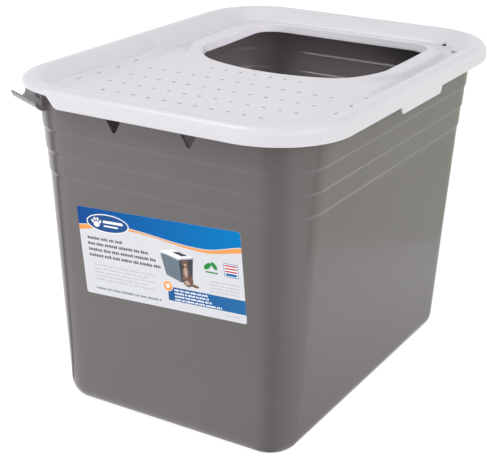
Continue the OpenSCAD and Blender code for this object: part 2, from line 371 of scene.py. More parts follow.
def border_slope(start_d, lift):
    """Rings from the flat border down to the foot of its inner slope, soft at the foot on the front."""
    start, foot = lid_outline(start_d), crease_outline()
    low = deck_height(foot) + lift
    soft = front_share(foot)
    rings = []
    for t in np.linspace(0, 1, 22)[1:-1]:
        crisp = t ** SLOPE_POWER
        drop = soft * smooth(t) + (1 - soft) * crisp
        z = (TOTAL_H + lift) * (1 - drop) + low * drop
        rings.append(with_z(start * (1 - t) + foot * t, z))
    return rings


def deck_rings(lift, inset, count, groove=0.0):
    """Rings across the deck, from the groove at the foot of the border to the edge of the opening."""
    foot, edge = crease_outline(), entry_outline(inset)
    depth = groove * (1 - front_share(foot))
    rings = []
    for t in np.linspace(0, 1, count) ** 1.5:
        p = foot * (1 - t) + edge * t
        away = np.hypot(*(p - foot).T)
        rings.append(with_z(p, deck_height(p) + lift - depth * np.exp(-((away / GROOVE_W) ** 2))))
    return rings


def lip_rings():
    """The rounded edge of the opening and its turned-down lip."""
    r = LIP_R
    top = deck_height(entry_outline(r))
    rings = []
    for a in np.radians(np.linspace(12, 90, 7)):
        rings.append(with_z(entry_outline(r * (1 - math.sin(a))), top - r * (1 - math.cos(a))))
    low = top - LIP_H
    for t in (0.3, 0.6, 0.93):
        rings.append(with_z(entry_outline(-LIP_DRAFT * t), (top - r) * (1 - t) + low * t))
    return rings + [with_z(entry_outline(d - LIP_DRAFT), low + h) for d, h in LIP_EDGE]


def border_arc(r, d, low, high, degrees):
    """Rings round the border's outer edge, an arc of radius r that starts at inset d."""
    arc = np.radians(degrees)
    return [with_z(lid_outline(d + r * (1 - math.cos(a))), low + (high - low) * math.sin(a)) for a in arc]


def lid_shell():
    bottom = skirt_bottom(lid_outline(0))
    edge_z = np.maximum(TOTAL_H - EDGE_R, bottom + 2.2)
    arc_angles = np.linspace(0, 90, 14)
    rings = [with_z(lid_outline(d), bottom + h) for d, h in SKIRT_EDGE]
    for t in (0.0, 0.33, 0.66):
        rings.append(with_z(lid_outline(0), (bottom + 1.8) * (1 - t) + edge_z * t))
    rings += border_arc(EDGE_R, 0, edge_z, TOTAL_H, arc_angles)
    rings += [with_z(lid_outline(d), TOTAL_H) for d in (EDGE_R + 1.2, EDGE_R + 2.4, BORDER_W)]
    rings += border_slope(BORDER_W, 0)
    rings += deck_rings(0, LIP_R, 64, GROOVE_DEPTH)
    rings += lip_rings()
    rings += deck_rings(-LID_WALL, LID_WALL + 0.2, 14)[::-1]
    rings += border_slope(BORDER_W + 1.0, -LID_WALL)[::-2]
    rings += [with_z(lid_outline(BORDER_W + 0.6), TOTAL_H - LID_WALL)]
    rings += border_arc(EDGE_R - LID_WALL, LID_WALL, edge_z, TOTAL_H - LID_WALL, arc_angles[::-2])
    for t in (0.66, 0.33):
        rings.append(with_z(lid_outline(LID_WALL), (bottom + 0.7) * (1 - t) + edge_z * t))
    rings += [with_z(lid_outline(LID_WALL), bottom + 0.5)]
    rings += [with_z(lid_outline(LID_WALL - 0.3), bottom + 0.1)]
    return loft("lid_shell", rings, True)


def hole_places():
    places = []
    for row, reach in enumerate(ROW_REACH):
        for col in range(-6, 7):
            x, y = HOLE_PITCH * col, FIRST_ROW_Y - 2 * HOLE_PITCH * row
            if abs(x) < reach:
                places.append((x, y))
    return places


def height_at(x, y):
    return float(deck_height(np.array([[x, y]], float))[0])


def hole_cutters():
    """Round cutters that widen a little at the deck's surface."""
    parts = []
    r = HOLE_D / 2
    for x, y in hole_places():
        z = height_at(x, y)
        profile = [(r, z - 7), (r, z - 0.5), (r + 0.35, z - 0.05), (r + 0.6, z + 4)]
        parts.append(turned("hole", profile, HOLE_STEPS, Matrix.Translation((x, y, 0))))
    return joined("holes", parts)


def slot_places():
    """(x, y, turn, length, width) of the drain slots beside the walkway and at the right rear."""
    places = []
    for s in (-1, 1):
        for i in range(4):
            places.append((s * SLOT_X, FIRST_SLOT_Y + SLOT_PITCH * i, 90, SLOT_L, SLOT_W))
    return places + [(*slot, REAR_SLOT_W) for slot in REAR_SLOTS]


def slot_cutters():
    parts = []
    a = np.radians(np.linspace(-90, 90, 9))
    for x, y, yaw, length, width in slot_places():
        half, r = (length - width) / 2, width / 2
        right = [(half + r * math.cos(t), r * math.sin(t)) for t in a]
        profile = right + [(-px, -py) for px, py in right]
        place = Matrix.Translation((x, y, WALK_Z + 4)) @ Matrix.Rotation(math.radians(yaw), 4, "Z")
        parts.append(prism("slot", profile, SLOT_CUT, place))
    return joined("slots", parts)


def hinge_place(y):
    """The hinge axis at y, with the X and Z of the lid as the profile's X and Y."""
    return Matrix.Translation((-HINGE_X, y, HINGE_Z)) @ Matrix.Rotation(math.radians(90), 4, "X")


def hinge_lugs():
    """Two lugs under the border, each with its pin."""
    parts = []
    top = TOTAL_H - LID_WALL + LUG_SINK
    for s in (-1, 1):
        a = np.radians(np.linspace(180, 360, 15))
        profile = [(LUG_R * math.cos(t), LUG_R * math.sin(t)) for t in a]
        root_w, root_h = LUG_R + LUG_FLARE, top - HINGE_Z
        profile += [(LUG_R, LUG_SHOULDER), (root_w, root_h)]
        profile += [(-root_w, root_h), (-LUG_R, LUG_SHOULDER)]
        place = hinge_place(s * HINGE_Y)
        parts.append(prism("lug", profile, LUG_W, place, LUG_BEVEL))
        half, tip_r = LUG_W / 2 + ARM_T, PIN_R - PIN_CHAMFER
        pin = [(tip_r, -half), (PIN_R, -half + PIN_CHAMFER), (PIN_R, half - PIN_CHAMFER), (tip_r, half)]
        parts.append(turned("pin", pin, PIN_STEPS, place))
    return joined("lid_hinge_lugs", parts)


# ---- tub ------------------------------------------------------------------------------------------

TUB_CORNER_STEPS = 26
TUB_SPANS = (even(34), even(50), even(34), even(50))


def tub_outline(z, d):
    hx, hy = BASE_W / 2 + DRAFT * z - d, BASE_L / 2 + DRAFT * z - d
    r = max(BASE_R + R_GROWTH * z - d, MIN_CORNER_R)
    return outline(hx, hy, r, 0, TUB_SPANS, TUB_CORNER_STEPS)


def tub_ring(z, d):
    return with_z(tub_outline(z, d), z)


def ledge_profile(base_d, rise):
    """(height, inset) pairs up the wall past its three ledges, each stepping out over the rise."""
    pairs = []
    for i in range(3):
        z = LEDGE_Z + i * LEDGE_PITCH
        for t in np.linspace(0, 1, 8):
            pairs.append((z + rise * (t - 0.5), base_d - (i + smooth(t)) * LEDGE_STEP))
    return pairs


def rim_profile():
    """(height, inset) pairs round the bead at the top of the tub's wall."""
    wall_d, low = -3 * LEDGE_STEP, RIM_Z - BEAD_H
    bead_d = wall_d - BEAD_OUT
    return [
        (low - 6, wall_d), (low - 2.2, wall_d), (low - 1.4, wall_d - 0.4),
        (low - 0.3, bead_d + 0.6), (low + 0.3, bead_d),
        (RIM_Z - 1.2, bead_d), (RIM_Z - 0.35, bead_d + 0.35), (RIM_Z, bead_d + 1.2), (RIM_Z, wall_d + 2),
    ]


def tub_outer():
    rings = [tub_ring(z, d) for z, d in BASE_RINGS]
    for a in np.radians(np.linspace(0, 90, 14)):
        rings.append(tub_ring(BASE_EDGE_H * (1 - math.cos(a)), BASE_EDGE_R * (1 - math.sin(a))))
    rings += [tub_ring(z, 0) for z in (40, 80, 120, 160, 200, 240, 264)]
    rings += [tub_ring(z, d) for z, d in ledge_profile(0, LEDGE_RISE_OUT) + rim_profile()]
    return loft("tub_shell", rings, False)


def tub_inner():
    rings = [tub_ring(FLOOR_T, d) for d in (80, 40, 14)]
    for a in np.radians(np.linspace(10, 90, 8)):
        up, inwards = FLOOR_R * (1 - math.cos(a)), FLOOR_R * (1 - math.sin(a))
        rings.append(tub_ring(FLOOR_T + up, TUB_WALL + inwards))
    rings += [tub_ring(z, TUB_WALL) for z in (60, 120, 180, 240)]
    rings += [tub_ring(z, d) for z, d in ledge_profile(TUB_WALL, LEDGE_RISE_IN)]
    last = TUB_WALL - 3 * LEDGE_STEP
    rings += [tub_ring(350, last), tub_ring(RIM_Z - 1.8, last), tub_ring(RIM_Z + 0.4, last - 2.2)]
    rings += [tub_ring(RIM_Z + 6, last - 2.4)]
    return loft("tub_inside", rings, False)


def cradle_rings():
    """Sections of the open half-pipe from its far end: X across the pipe, Y up and Z along it."""
    outer_r = CRADLE_R + CRADLE_WALL
    mid = CRADLE_R + CRADLE_WALL / 2
    half_turn = np.radians(np.linspace(180, 360, 21))
    rings = []
    for along_z in np.concatenate([[0.0, 0.5, CRADLE_TIP_L], np.linspace(4, CRADLE_L, 26)]):
        high = CRADLE_RISE * smooth((along_z - CRADLE_RISE_FROM) / CRADLE_RISE_RUN)
        taper = CRADLE_TIP_INSET * (1 - smooth(along_z / CRADLE_TIP_L))
        r_in, r_out = CRADLE_R + taper, outer_r - taper
        section = [(-r_in * math.cos(a), r_in * math.sin(a)) for a in half_turn]
        section += [(-r_in, high), (-mid, high + 0.6), (-r_out, high)]
        section += [(-r_out * math.cos(a), r_out * math.sin(a)) for a in half_turn[::-1]]
        section += [(r_out, 0.0), (mid, 0.6), (r_in, 0.0)]
        rings.append(with_z(np.array(section), -along_z))
    return rings


def cradle_object():
    """The half-pipe that runs into the front left corner, its inner edge rising to the rim."""
    place = (
        Matrix.Translation(CRADLE_END)
        @ Matrix.Rotation(math.radians(CRADLE_YAW), 4, "Z")
        @ Matrix.Rotation(math.radians(CRADLE_TILT), 4, "Y")
        @ Matrix(((0, 0, 1, 0), (1, 0, 0, 0), (0, 1, 0, 0), (0, 0, 0, 1)))
    )
    obj = loft("cradle", cradle_rings(), False)
    put(obj, place)
    fix_normals(obj.data)
    return obj


def fix_normals(mesh):
    bm = bmesh.new()
    bm.from_mesh(mesh)
    bmesh.ops.recalc_face_normals(bm, faces=bm.faces)
    bm.to_mesh(mesh)
    bm.free()


def hinge_arms():
    parts = []
    for s in (-1, 1):
        for e in (-1, 1):
            y = s * HINGE_Y + e * (LUG_W / 2 + ARM_T / 2 + ARM_GAP)
            a = np.radians(np.linspace(90, 270, 19))
            profile = [(ARM_R * math.cos(t), ARM_R * math.sin(t)) for t in a]
            root = HINGE_X - ARM_ROOT_X
            profile += [(root, -ARM_R - ARM_DROP), (root, ARM_R)]
            parts.append(prism("arm", profile, ARM_T, hinge_place(y), ARM_BEVEL))
    return joined("arms", parts)


def hinge_bores():
    parts = []
    r, half = PIN_R + PIN_PLAY, LUG_W / 2 + 2 * ARM_T
    for s in (-1, 1):
        parts.append(turned("bore", [(r, -half), (r, half)], PIN_STEPS, hinge_place(s * HINGE_Y)))
    return joined("bores", parts)


def vent_cutters():
    """V-shaped cuts through the front wall, eased on their outside."""
    parts = []
    wall_y = -(BASE_L / 2 + DRAFT * VENT_TOP_Z + 3 * LEDGE_STEP)
    for s in (-1, 1):
        rings = []
        for depth, grow, drop in VENT_SECTIONS:
            y = wall_y + depth
            half_top, half_tip = VENT_W / 2 + grow, VENT_TIP / 2 + grow * 0.5
            apex = VENT_APEX_Z - drop
            x = s * VENT_X
            rings.append(np.array([
                (x - half_tip, y, apex), (x + half_tip, y, apex),
                (x + half_top, y, VENT_TOP_Z), (x - half_top, y, VENT_TOP_Z),
            ]))
        obj = loft("vent", rings, False)
        fix_normals(obj.data)
        parts.append(obj)
    return joined("vents", parts)


def build_tub():
    tub = tub_outer()
    boolean(tub, cradle_object(), "UNION")
    boolean(tub, hinge_arms(), "UNION")
    boolean(tub, tub_inner(), "DIFFERENCE")
    boolean(tub, vent_cutters(), "DIFFERENCE")
    boolean(tub, hinge_bores(), "DIFFERENCE")
    return tub


def build_lid():
    lid = lid_shell()
    boolean(lid, hole_cutters(), "DIFFERENCE")
    boolean(lid, slot_cutters(), "DIFFERENCE")
    return lid


# ---- materials (distances in metres) --------------------------------------------------------------


def material(name):
    mat = bpy.data.materials.new(name)
    mat.use_nodes = True
    nodes, links = mat.node_tree.nodes, mat.node_tree.links
    return mat, nodes, links, nodes["Principled BSDF"]


def noise(nodes, links, coords, scale, detail):
    node = nodes.new("ShaderNodeTexNoise")
    node.inputs["Scale"].default_value = scale
    node.inputs["Detail"].default_value = detail
    links.new(coords, node.inputs["Vector"])
    return node.outputs["Fac"]


def object_coords(nodes):
    return nodes.new("ShaderNodeTexCoord").outputs["Object"]


def ramp(nodes, links, value, stops):
    node = nodes.new("ShaderNodeValToRGB")
    elements = node.color_ramp.elements
    while len(elements) < len(stops):
        elements.new(0.5)
    for element, (place, colour) in zip(elements, stops):
        element.position = place
        element.color = (*colour, 1)
    links.new(value, node.inputs["Fac"])
    return node.outputs["Color"]


def remap(nodes, links, value, source, result=(0.0, 1.0), interpolation="LINEAR"):
    """The value, with the source range taken to the result range and cut off outside it."""
    node = nodes.new("ShaderNodeMapRange")
    node.interpolation_type = interpolation
    for name, number in zip(("From Min", "From Max", "To Min", "To Max"), (*source, *result)):
        node.inputs[name].default_value = number
    links.new(value, node.inputs["Value"])
    return node.outputs["Result"]


def component(nodes, links, vector, axis):
    """The vector's X, Y or Z."""
    node = nodes.new("ShaderNodeSeparateXYZ")
    links.new(vector, node.inputs["Vector"])
    return node.outputs[axis]


def bump(nodes, links, height, distance, strength, normal=None):
    node = nodes.new("ShaderNodeBump")
    node.inputs["Distance"].default_value = distance
    node.inputs["Strength"].default_value = strength
    links.new(height, node.inputs["Height"])
    if normal is not None:
        links.new(normal, node.inputs["Normal"])
    return node.outputs["Normal"]


def linear(r, g, b):
    """A colour picked in 0-255 display values, as the shader takes it."""
    return tuple(((c / 255 + 0.055) / 1.055) ** 2.4 if c > 10.3 else c / 255 / 12.92 for c in (r, g, b))


def tinted(colour, factor):
    return tuple(c * factor for c in colour)


UNIT = (0.0, 1.0)
TUB_GREY, TUB_ROUGHNESS, TUB_IOR = linear(102, 97, 96), (0.14, 0.20), 1.52
LID_WHITE, LID_ROUGHNESS, LID_IOR = linear(215, 213, 217), (0.26, 0.34), 1.49
LID_SCATTER, LID_SCATTER_M = 0.12, (0.004, 0.004, 0.005)
FILM_ROUGHNESS, FILM_SPECULAR = (0.27, 0.34), 0.06


def tub_material():
    mat, nodes, links, bsdf = material("tub_plastic")
    coords = object_coords(nodes)
    cloud = noise(nodes, links, coords, scale=9.0, detail=4.0)
    shades = [(0.3, tinted(TUB_GREY, 0.96)), (0.7, tinted(TUB_GREY, 1.04))]
    links.new(ramp(nodes, links, cloud, shades), bsdf.inputs["Base Color"])
    grain = noise(nodes, links, coords, scale=1400.0, detail=2.0)
    links.new(remap(nodes, links, cloud, UNIT, TUB_ROUGHNESS), bsdf.inputs["Roughness"])
    waves = noise(nodes, links, coords, scale=14.0, detail=1.0)
    soft = bump(nodes, links, waves, distance=0.0006, strength=0.10)
    fine = bump(nodes, links, grain, distance=0.00003, strength=0.3, normal=soft)
    links.new(fine, bsdf.inputs["Normal"])
    bsdf.inputs["IOR"].default_value = TUB_IOR
    return mat


def lid_material():
    mat, nodes, links, bsdf = material("lid_plastic")
    coords = object_coords(nodes)
    cloud = noise(nodes, links, coords, scale=7.0, detail=3.0)
    shades = [(0.0, tinted(LID_WHITE, 0.985)), (1.0, tinted(LID_WHITE, 1.015))]
    links.new(ramp(nodes, links, cloud, shades), bsdf.inputs["Base Color"])
    grain = noise(nodes, links, coords, scale=1800.0, detail=2.0)
    links.new(remap(nodes, links, cloud, UNIT, LID_ROUGHNESS), bsdf.inputs["Roughness"])
    waves = noise(nodes, links, coords, scale=6.0, detail=0.0)
    soft = bump(nodes, links, waves, distance=0.0008, strength=0.06)
    fine = bump(nodes, links, grain, distance=0.00004, strength=0.3, normal=soft)
    links.new(fine, bsdf.inputs["Normal"])
    bsdf.inputs["IOR"].default_value = LID_IOR
    bsdf.inputs["Subsurface Weight"].default_value = LID_SCATTER
    bsdf.inputs["Subsurface Radius"].default_value = LID_SCATTER_M
    bsdf.inputs["Subsurface Scale"].default_value = 1.0
    return mat


def ink_material(name, left, right):
    """Printed film: an even ink, or one that shades from the label's left end to its right."""
    mat, nodes, links, bsdf = material(name)
    coords = object_coords(nodes)
    mottle = noise(nodes, links, coords, scale=260.0, detail=2.0)
    if right is None:
        colour = ramp(nodes, links, mottle, [(0.25, tinted(left, 0.965)), (0.75, tinted(left, 1.015))])
    else:
        end = LABEL_W / 2 * MM
        across = remap(nodes, links, component(nodes, links, coords, "X"), (-end, end))
        colour = ramp(nodes, links, across, [(0, left), (1, right)])
    links.new(colour, bsdf.inputs["Base Color"])
    links.new(remap(nodes, links, mottle, UNIT, FILM_ROUGHNESS), bsdf.inputs["Roughness"])
    ripple = noise(nodes, links, coords, scale=30.0, detail=1.0)
    links.new(bump(nodes, links, ripple, distance=0.0003, strength=0.15), bsdf.inputs["Normal"])
    bsdf.inputs["Specular IOR Level"].default_value = FILM_SPECULAR
    return mat


# ---- label ----------------------------------------------------------------------------------------

INKS = {
    "film": (linear(216, 217, 221), None),
    "blue": (linear(18, 74, 146), linear(0, 122, 190)),
    "navy": (linear(40, 76, 132), linear(40, 106, 164)),
    "orange": (linear(236, 160, 90), None),
    "text": (linear(80, 78, 90), None),
    "fine": (linear(178, 180, 188), None),
    "box": (linear(110, 124, 134), None),
    "box_dark": (linear(70, 74, 82), None),
    "cat": (linear(120, 92, 78), None),
    "cat_light": (linear(186, 160, 144), None),
    "green": (linear(50, 140, 70), None),
    "red": (linear(196, 70, 80), None),
    "white": (linear(248, 248, 250), None),
}
INK_NAMES = list(INKS)
CDT_INSIDE, MERGE_MM = 1, 1e-4  # triangles inside the outlines only, and the distance that joins points


def uv(u, v):
    """A point on the label from its fractions across and up."""
    return ((u - 0.5) * LABEL_W, (v - 0.5) * LABEL_H)


def patch(ink, *points):
    """One flat shape, from points given as fractions across and up the label."""
    return ink, [uv(u, v) for u, v in points]


def rounded_rect(hx, hy, r, cx=0.0, cy=0.0, steps=8):
    return [(cx + x, cy + y) for x, y in outline(hx, hy, r, 0, (even(1),) * 4, steps)]


def turned_about(points, cx, cy, turn):
    """Points turned by an angle in degrees, then moved to their centre."""
    c, s = math.cos(math.radians(turn)), math.sin(math.radians(turn))
    return [(cx + x * c - y * s, cy + x * s + y * c) for x, y in points]


def ellipse(cx, cy, rx, ry, steps=36, turn=0.0):
    a = 2 * np.pi * np.arange(steps) / steps
    return turned_about([(rx * math.cos(t), ry * math.sin(t)) for t in a], cx, cy, turn)


def words(ink, u0, u1, v, height, seed, letter):
    """A line of plain blocks where a line of print would be: no letters, only their grey."""
    shapes = []
    gap = 0.38 * letter
    x, y = uv(u0, v)
    end = uv(u1, v)[0]
    half = height * LABEL_H / 2
    step = seed
    while x < end - letter:
        step = (step * 37 + 11) % 101
        for k in range(2 + step % 7):
            if x > end - letter:
                break
            top = y + half * (1.0 if (step + k * 5) % 4 else 1.35)
            width = letter * (0.8 + 0.1 * ((step + k * 3) % 5))
            shapes.append((ink, [(x, y - half), (x + width, y - half), (x + width, top), (x, top)]))
            x += width + gap
        x += 2.2 * gap
    return shapes


def paw(cx, cy, size, ink):
    shapes = [(ink, ellipse(cx, cy - 0.25 * size, 0.5 * size, 0.4 * size))]
    for dx, dy, turn in ((-0.62, 0.15, 25), (-0.24, 0.48, 8), (0.24, 0.48, -8), (0.62, 0.15, -25)):
        shapes.append((ink, ellipse(cx + dx * size, cy + dy * size, 0.17 * size, 0.25 * size, 20, turn)))
    return shapes


def leaf(cx, cy, length, width, turn, ink):
    """A pointed leaf from two arcs."""
    ts = np.linspace(0, np.pi, 14)
    pts = [(-length / 2 * math.cos(t), width / 2 * math.sin(t)) for t in ts]
    pts += [(length / 2 * math.cos(t), -width / 2 * math.sin(t)) for t in ts[1:-1]]
    return ink, turned_about(pts, cx, cy, turn)


BAND_V, WAVE_H, END_LIFT, END_LIFT_U = 0.795, 0.045, 0.045, 0.78
WAVE_U = np.linspace(0, 1, 41)
WAVE_V = BAND_V + WAVE_H * np.sin((WAVE_U - 0.02) * 2 * np.pi * 0.98 + 0.15)
WAVE_V = WAVE_V + END_LIFT * smooth((WAVE_U - END_LIFT_U) / 0.22)


def band_edge(u):
    """Height of the header band's wavy lower edge."""
    return float(np.interp(u, WAVE_U, WAVE_V))


def curve_top(u):
    return band_edge(u) - 0.008


def curve_bottom(u):
    return band_edge(u) - 0.022 - 0.042 * abs(2 * u - 1) ** 1.5


def strip(ink, lower, upper):
    """A shape right across the label between two edges."""
    return ink, [uv(u, lower(u)) for u in WAVE_U] + [uv(u, upper(u)) for u in WAVE_U[::-1]]


def header_shapes():
    """The header band over a thin curved line, and a round badge with a paw mark."""
    bx, by = uv(0.19, 0.845)
    return [
        strip("orange", curve_bottom, curve_top),
        strip("blue", band_edge, lambda u: 1.0),
        ("white", ellipse(bx, by, 27.5, 10.6, 48)),
        ("navy", ellipse(bx, by, 26.3, 9.5, 48)),
        *paw(bx - 14.5, by, 8.0, "white"),
        ("white", rounded_rect(13, 1.5, 1.2, bx + 7, by + 1.8, 3)),
        ("white", rounded_rect(9.5, 0.9, 0.8, bx + 4, by - 3, 3)),
    ]


def left_print():
    """Four lines of print, fine print and one line in grey below it."""
    shapes = []
    for k, (u1, v) in enumerate(((0.275, 0.655), (0.43, 0.590), (0.48, 0.524), (0.505, 0.458))):
        shapes += words("text", 0.047, u1, v, 0.028, 7 + 13 * k, 1.7)
    for k in range(5):
        shapes += words("fine", 0.068, 0.46 - 0.05 * (k % 2), 0.350 - 0.042 * k, 0.011, 3 + 17 * k, 1.6)
    return shapes + words("box", 0.068, 0.49, 0.076, 0.021, 29, 1.5)


def box_picture():
    """A box with its open lid."""
    return [
        patch("box", (0.510, 0.620), (0.535, 0.390), (0.625, 0.330), (0.695, 0.375), (0.708, 0.620)),
        patch("box_dark", (0.620, 0.580), (0.625, 0.330), (0.695, 0.375), (0.708, 0.620)),
        patch("fine", (0.498, 0.640), (0.616, 0.573), (0.716, 0.620), (0.716, 0.640), (0.590, 0.682)),
        patch("white", (0.500, 0.644), (0.616, 0.590), (0.714, 0.636), (0.590, 0.685)),
        patch("box_dark", (0.580, 0.658), (0.638, 0.626), (0.680, 0.642), (0.625, 0.670)),
    ]


def cat_picture():
    """A plain sitting cat: body, head, ears, tail, pale front, dark and pale stripes."""
    cx, cy = uv(0.660, 0.40)
    shapes = [
        ("cat", ellipse(cx + 1.2, cy - 3.5, 6.6, 7.5, 30)),
        ("cat", ellipse(cx, cy + 4.5, 4.6, 8.5, 30)),
        ("cat", ellipse(cx - 0.6, cy + 15.0, 4.0, 3.7, 26)),
        ("cat", [(cx - 4.4, cy + 16.2), (cx - 1.6, cy + 17.8), (cx - 4.0, cy + 20.8)]),
        ("cat", [(cx + 0.4, cy + 17.8), (cx + 3.2, cy + 16.2), (cx + 2.9, cy + 20.6)]),
        ("cat", ellipse(cx + 9.0, cy - 8.6, 5.6, 1.7, 24, -8)),
        ("cat_light", ellipse(cx - 0.5, cy + 5.5, 2.1, 6.0, 24)),
        ("cat_light", ellipse(cx - 0.7, cy + 13.8, 1.7, 1.4, 18)),
        ("cat_light", ellipse(cx + 0.2, cy - 6.5, 3.4, 2.6, 20)),
    ]
    for k in range(5):
        shapes.append(("box_dark", ellipse(cx + 3.2, cy + 9.0 - 3.6 * k, 1.5, 0.55, 14, -25)))
    for k in range(3):
        shapes.append(("cat_light", ellipse(cx - 3.4, cy + 7.5 - 4.2 * k, 0.9, 0.6, 12, 20)))
    return shapes


def right_marks():
    """A leaf mark, a small striped mark and fine print."""
    lx, ly = uv(0.815, 0.560)
    fx, fy = uv(0.930, 0.562)
    shapes = [
        leaf(lx - 4.5, ly + 1.0, 11, 5.5, 38, "green"),
        leaf(lx + 3.5, ly + 2.2, 10, 5.0, 128, "green"),
        ("green", rounded_rect(7.5, 0.8, 0.6, lx, ly - 5.5, 3)),
        ("navy", rounded_rect(8.4, 7.6, 1.2, fx, fy, 4)),
        ("white", rounded_rect(7.7, 6.9, 0.8, fx, fy, 4)),
    ]
    for k in range(3):
        shapes.append(("red", rounded_rect(7.0, 0.85, 0.3, fx, fy + 5.2 - 3.2 * k, 2)))
    shapes.append(("navy", rounded_rect(6.6, 1.5, 0.4, fx, fy - 4.6, 2)))
    for k in range(4):
        shapes += words("fine", 0.80, 0.975, 0.405 - 0.036 * k, 0.010, 5 + 9 * k, 1.6)
    return shapes


def banner_shapes():
    """The lower banner with its print and a round tag at its end."""
    shapes = [patch("navy", (0.535, 0.100), (1.0, 0.100), (1.0, 0.258), (0.560, 0.258), (0.535, 0.200))]
    for k, u1 in enumerate((0.785, 0.785, 0.80, 0.86)):
        shapes += words("white", 0.575, u1, 0.228 - 0.036 * k, 0.019, 4 + 21 * k, 1.1)
    ox, oy = uv(0.537, 0.262)
    shapes += [("white", ellipse(ox, oy, 6.2, 6.2)), ("orange", ellipse(ox, oy, 5.7, 5.7))]
    shapes += paw(ox, oy + 0.2, 4.2, "white")
    return shapes + words("fine", 0.88, 0.975, 0.055, 0.010, 3, 1.6)


def label_shapes():
    """The label's print from the bottom layer to the top one: (ink, polygon) pairs."""
    shapes = [("film", rounded_rect(LABEL_W / 2, LABEL_H / 2, LABEL_R))]
    for group in (header_shapes, left_print, box_picture, cat_picture, right_marks, banner_shapes):
        shapes += group()
    return shapes


def inside_label(point):
    x, y = point
    return (max(-LABEL_W / 2, min(LABEL_W / 2, x)), max(-LABEL_H / 2, min(LABEL_H / 2, y)))


def anticlockwise(points):
    p = np.asarray(points, float)
    q = np.roll(p, -1, 0)
    area = (p[:, 0] * q[:, 1] - q[:, 0] * p[:, 1]).sum()
    return points if area > 0 else points[::-1]


def label_front():
    """Flat faces for the print: one layer, with no face over another."""
    shapes = label_shapes()
    verts, polygons = [], []
    for k, (_, pts) in enumerate(shapes):
        start = len(verts)
        verts += [Vector(p if k == 0 else inside_label(p)) for p in anticlockwise(pts)]
        polygons.append(list(range(start, len(verts))))
    out_verts, _, out_faces, _, _, origins = delaunay_2d_cdt(verts, [], polygons, CDT_INSIDE, MERGE_MM)
    faces, inks = [], []
    for face, origin in zip(out_faces, origins):
        if origin and 0 in origin:
            faces.append(face)
            inks.append(INK_NAMES.index(shapes[max(origin)][0]))
    return out_verts, faces, inks


def label_mesh():
    """The film as one closed solid: the printed front, its edges and a plain back."""
    verts, faces, inks = label_front()
    bm = bmesh.new()
    points = [bm.verts.new((v.x * MM, v.y * MM, LABEL_T * MM)) for v in verts]
    for face, ink in zip(faces, inks):
        bm.faces.new([points[i] for i in face]).material_index = ink
    edges = [e for e in bm.edges if e.is_boundary]
    for item in bmesh.ops.extrude_edge_only(bm, edges=edges)["geom"]:
        if isinstance(item, bmesh.types.BMVert):
            item.co.z = 0.0
        elif isinstance(item, bmesh.types.BMFace):
            item.material_index = 0
    for v in [v for v in bm.verts if not v.link_faces]:
        bm.verts.remove(v)
    edges = [e for e in bm.edges if e.is_boundary]
    for face in bmesh.ops.contextual_create(bm, geom=edges)["faces"]:
        face.material_index = 0
    bmesh.ops.recalc_face_normals(bm, faces=bm.faces)
    mesh = bpy.data.meshes.new("label_film")
    bm.to_mesh(mesh)
    bm.free()
    return mesh


def build_label():
    obj = new_object("label_film", label_mesh())
    for name, (left, right) in INKS.items():
        obj.data.materials.append(ink_material("label_" + name, left, right))
    wall_y = -(BASE_L / 2 + DRAFT * LABEL_Z) - LABEL_GAP
    obj.matrix_world = (
        Matrix.Translation((LABEL_X * MM, wall_y * MM, LABEL_Z * MM))
        @ Matrix.Rotation(math.radians(90) + math.atan(DRAFT), 4, "X")
        @ Matrix.Rotation(math.radians(LABEL_TILT), 4, "Z")
    )
    return obj


# ---- stage, lights and camera (metres, watts and degrees) -----------------------------------------

FLOOR_HALF, CARD_HALF, CARD_Z = 14.0, 4.0, 0.0012
FLOOR_GREYS, FLOOR_GLOW = (0.26, 0.28), 0.88

# where the tub's two front corners stand
RIGHT_CORNER, LEFT_CORNER = (0.110, -0.176), (-0.110, -0.176)
# apex, azimuth from the front towards the right and half width, of the painted dark bands in the
# reflection card, for the dim gaps between the studio lights
FAR_GAP = (RIGHT_CORNER, 118, 12)
DARK_GAPS = ((RIGHT_CORNER, 32, 42), (LEFT_CORNER, -80, 16))
DARK = (0.02, 0.02, 0.02)
# colours of the floor's painted reflection: near and far, before the front and beside the box, and past
# its edge; dim beside the box near its base as painted contact shade
FRONT_NEAR, FRONT_FAR = (1.17, 1.15, 1.22), (0.74, 0.72, 0.77)
BESIDE_NEAR, BESIDE_FAR = (0.42, 0.41, 0.46), (0.77, 0.76, 0.84)
BEYOND, BEYOND_GAP = (0.63, 0.65, 0.55), (0.25, 0.25, 0.2)
# direction over the floor, and the distances along it where each of those changes starts and ends
AHEAD = ((1.0, -0.624, 0), -0.02, 0.26)
ASIDE = ((1.0, 0.5, 0), 0.09, 0.36)
TURN = ((1.0, 0, 0), 0.138, 0.150)
FLOOR_EDGE = ((0.8, 0.6, 0), 0.450, 0.464)

HORIZON, ZENITH = (1.12, 1.12, 1.13), (0.44, 0.44, 0.45)
HORIZON_END, ZENITH_START = 0.05, 0.8
WHITE = (1.0, 1.0, 1.0)
# name, place, target, size, power and colour
LIGHTS = (
    ("key", (-0.9, -1.6, 2.4), (0, 0, 0.25), (1.2, 1.2), 28, WHITE),
    ("top", (0.1, 0.5, 2.4), (0, 0, 0.3), (1.2, 1.2), 4, WHITE),
    ("side", (2.4, -0.4, 1.5), (0, 0, 0.2), (1.6, 1.6), 14, WHITE),
)
# stands in for the light that comes through the thin lid
INNER_FILL = ("inner_fill", (0.13, 0.13, 0.27), (-0.16, 0.15, 0.24), (0.16, 0.03), 0.18, (1.0, 0.93, 1.06))
INNER_SPREAD = 110

